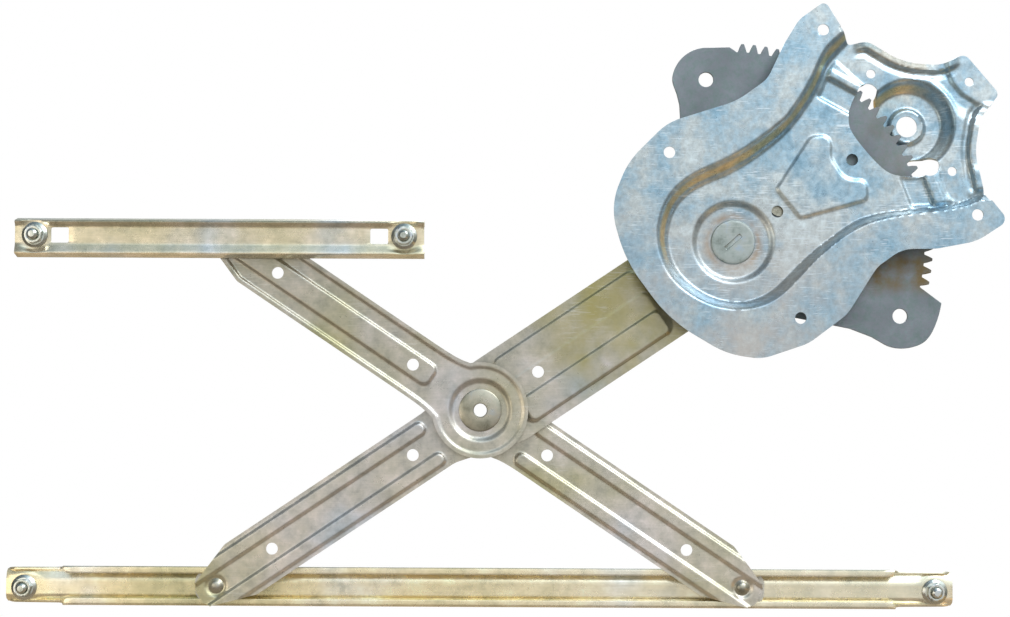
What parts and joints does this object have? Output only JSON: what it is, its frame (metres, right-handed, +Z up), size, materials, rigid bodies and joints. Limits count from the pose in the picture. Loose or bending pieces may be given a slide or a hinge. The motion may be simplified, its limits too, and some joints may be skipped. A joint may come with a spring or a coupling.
{
  "type": "window regulator",
  "caption": "Scissor-arm window regulator: stamped base plate, sector gear, crossed lifting arms and two guide rails.",
  "frame": {"origin": "midway between the two outer door bolt holes of the base plate (pair A), in the face that bolts against the inner door panel", "axes": "+X along the door towards the base plate end, +Z up in the door, -Y out of the mounting face towards the cabin"},
  "size_m": [0.6034, 0.044, 0.3656],
  "materials": {
    "plate": "galvanised, spangled",
    "gear": "plain steel, matt grey",
    "arm": "zinc plated, yellow passivated",
    "rail": "zinc plated, yellow passivated",
    "nut": "bright zinc, yellow passivated",
    "steel": "zinc plated",
    "bronze": "sintered bronze",
    "nylon": "natural nylon"
  },
  "bodies": {
    "base": {"base_plate": "plate", "pivot_stud": "steel", "pivot_front_washer": "steel", "pivot_rear_washer": "steel", "upper_rail": "rail", "upper_rail_studs": "steel", "upper_rail_nuts": "nut"},
    "lift_arm": {"lift_arm": "arm", "sector_gear": "gear", "gear_rivets": "steel", "pivot_bush": "bronze", "left_slider_pin": "steel"},
    "cross_arm": {"cross_arm_upper": "arm", "cross_arm_lower": "arm", "centre_rivet": "steel", "centre_front_washer": "steel", "centre_rear_washer": "steel", "upper_slider_pin": "steel", "right_slider_pin": "steel"},
    "upper_shoe": {"upper_slider": "nylon"},
    "left_shoe": {"left_slider": "nylon"},
    "right_shoe": {"right_slider": "nylon"},
    "glass_rail": {"glass_rail": "rail", "glass_rail_studs": "steel", "glass_rail_nuts": "nut"}
  },
  "joints": [
    {"name": "lift", "type": "hinge", "parent": "base", "child": "lift_arm", "pos_m": [-0.053, 0, -0.0346], "axis": [0, 1, 0], "range_deg": [-17, 51]},
    {"name": "scissor", "type": "hinge", "parent": "lift_arm", "child": "cross_arm", "pos_m": [-0.20548, 0, -0.13687], "axis": [0, 1, 0], "range_deg": [-102, 34]},
    {"name": "upper_shoe_pivot", "type": "hinge", "parent": "cross_arm", "child": "upper_shoe", "pos_m": [-0.35796, 0, -0.0346], "axis": [0, 1, 0], "range_deg": [-17, 51]},
    {"name": "left_shoe_pivot", "type": "hinge", "parent": "lift_arm", "child": "left_shoe", "pos_m": [-0.36452, 0, -0.24354], "axis": [0, 1, 0], "range_deg": [-51, 17]},
    {"name": "right_shoe_pivot", "type": "hinge", "parent": "cross_arm", "child": "right_shoe", "pos_m": [-0.04644, 0, -0.24354], "axis": [0, 1, 0], "range_deg": [-17, 51]},
    {"name": "glass_slide", "type": "slide", "parent": "right_shoe", "child": "glass_rail", "axis": [1, 0, 0], "range_m": [-0.02, 0.02]}
  ],
  "couplings": [
    {"joint": "scissor", "follows": "lift", "ratio": -2},
    {"joint": "upper_shoe_pivot", "follows": "lift", "ratio": 1},
    {"joint": "left_shoe_pivot", "follows": "lift", "ratio": -1},
    {"joint": "right_shoe_pivot", "follows": "lift", "ratio": 1}
  ]
}
